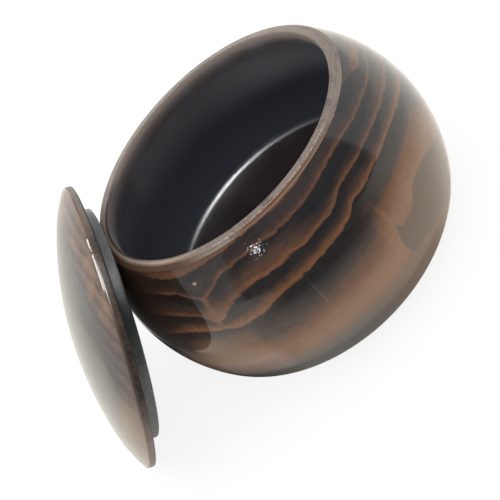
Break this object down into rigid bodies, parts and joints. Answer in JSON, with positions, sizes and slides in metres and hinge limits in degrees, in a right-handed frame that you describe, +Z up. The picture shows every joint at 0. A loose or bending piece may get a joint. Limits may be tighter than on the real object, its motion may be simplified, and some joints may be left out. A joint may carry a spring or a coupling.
{
  "type": "game stone bowl",
  "caption": "Round turned wooden bowl for game stones, hollowed wider than its mouth, with a domed lid taken off and leaning on it.",
  "frame": {"origin": "middle of the bowl's foot, on the floor", "axes": "+Z up along the bowl's turning axis, -X towards the lid that leans on the bowl"},
  "size_m": [0.1911, 0.145, 0.0978],
  "materials": {
    "bowl_wood": "dark stained, gloss lacquer",
    "lid_wood": "dark stained, gloss lacquer"
  },
  "bodies": {
    "bowl": {"bowl": "bowl_wood"},
    "lid": {"lid": "lid_wood"}
  },
  "joints": [
    {"name": "lid_lift", "type": "slide", "parent": "bowl", "child": "lid", "axis": [0, 0, 1], "range_m": [0, 0.1]}
  ]
}
